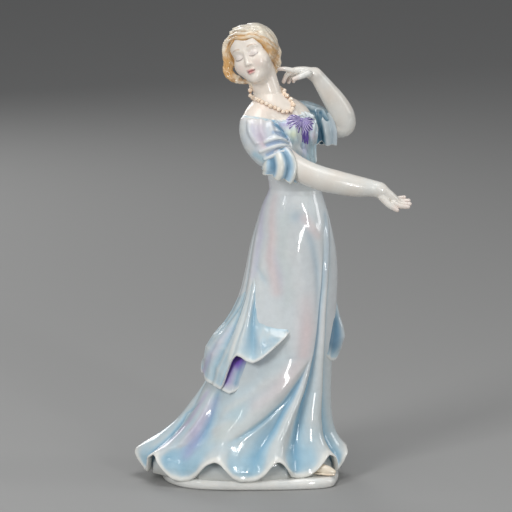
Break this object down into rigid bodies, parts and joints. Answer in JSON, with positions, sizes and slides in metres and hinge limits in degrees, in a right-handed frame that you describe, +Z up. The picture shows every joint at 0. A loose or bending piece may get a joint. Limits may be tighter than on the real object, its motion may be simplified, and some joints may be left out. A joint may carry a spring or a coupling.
{
  "type": "porcelain figurine",
  "caption": "Glazed porcelain figurine of a dancing lady in a long draped gown with puffed sleeves, one arm stretched out and one raised to her head, standing on an oval plinth.",
  "frame": {"origin": "middle of the plinth's flat underside, on the surface it stands on", "axes": "+Z up towards the head, +X towards the stretched out hand, -Y towards the viewer who sees her face"},
  "size_m": [0.157, 0.0868, 0.2623],
  "materials": {
    "glaze_white": "clear gloss glaze over white porcelain",
    "glaze_blue": "pale blue underglaze wash under clear gloss",
    "skin_white": "ivory white gloss glaze",
    "hair_gold": "golden brush strokes under clear gloss",
    "violet": "violet underglaze under clear gloss",
    "gilt": "peach bronze lustre",
    "shoe_cream": "cream gloss glaze"
  },
  "bodies": {
    "root": {"base_plinth": "glaze_white", "skirt": "glaze_blue", "overskirt_near": "glaze_blue", "overskirt_far": "glaze_blue", "torso": "glaze_white", "head": "skin_white", "hair": "hair_gold", "right_arm": "skin_white", "left_arm": "skin_white", "right_sleeve": "glaze_blue", "right_sleeve_frill": "glaze_blue", "left_sleeve": "glaze_blue", "left_sleeve_frill": "glaze_blue", "necklace": "gilt", "bow_knot": "violet", "bow_loop_right": "violet", "bow_loop_left": "violet", "bow_tail_right": "violet", "bow_tail_left": "violet", "right_shoe": "shoe_cream"}
  },
  "joints": []
}
